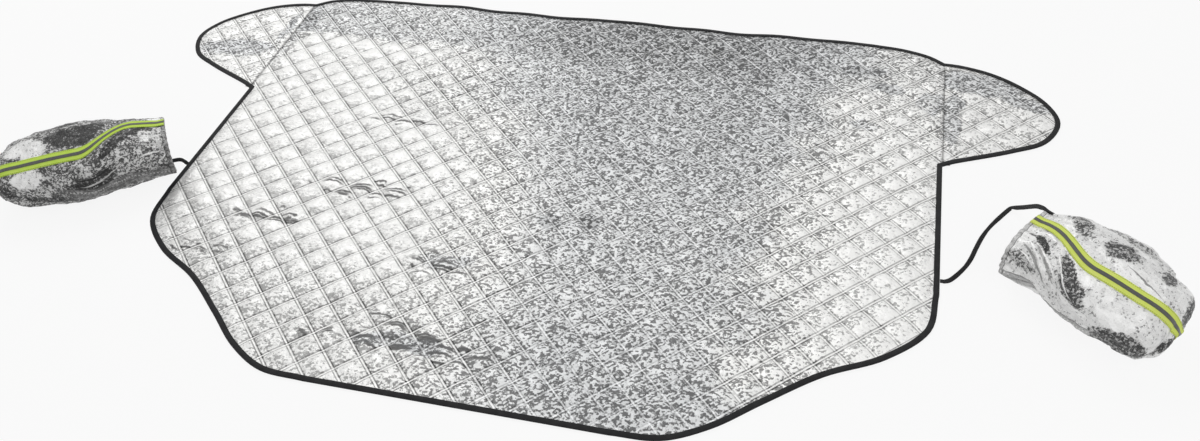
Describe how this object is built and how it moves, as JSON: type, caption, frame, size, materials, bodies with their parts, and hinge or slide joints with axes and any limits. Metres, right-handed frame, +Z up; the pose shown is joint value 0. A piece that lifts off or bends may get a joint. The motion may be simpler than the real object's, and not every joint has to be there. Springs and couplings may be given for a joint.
{
  "type": "windshield frost cover",
  "caption": "Quilted foil windshield frost cover, spread flat, with two door flaps and padded mirror covers on elastic straps.",
  "frame": {"origin": "on the floor, under the middle of the quilted sheet", "axes": "+X across the car towards the right-hand flap of the picture, +Y towards the roof edge with the flaps, +Z up from the floor"},
  "size_m": [2.1459, 1.1085, 0.1313],
  "materials": {
    "quilted_foil": "silver foil-faced quilted padding with a fine mosaic sparkle",
    "cover_foil": "silver foil-faced padding with a fine mosaic sparkle, crumpled",
    "black_binding": "black woven binding tape",
    "hi_vis_yellow": "fluorescent yellow woven tape",
    "reflective_grey": "dark grey reflective strip",
    "black_elastic": "black flat elastic"
  },
  "bodies": {
    "root": {"quilted_panel": "quilted_foil", "door_flap_left": "quilted_foil", "door_flap_right": "quilted_foil", "edge_binding": "black_binding", "left_cover_back_half": "cover_foil", "left_cover_front_half": "cover_foil", "left_cover_hi_vis_tape": "hi_vis_yellow", "left_cover_reflective_strip": "reflective_grey", "left_cover_mouth_elastic": "black_elastic", "left_strap": "black_elastic", "right_cover_back_half": "cover_foil", "right_cover_front_half": "cover_foil", "right_cover_hi_vis_tape": "hi_vis_yellow", "right_cover_reflective_strip": "reflective_grey", "right_cover_mouth_elastic": "black_elastic", "right_strap": "black_elastic"}
  },
  "joints": []
}
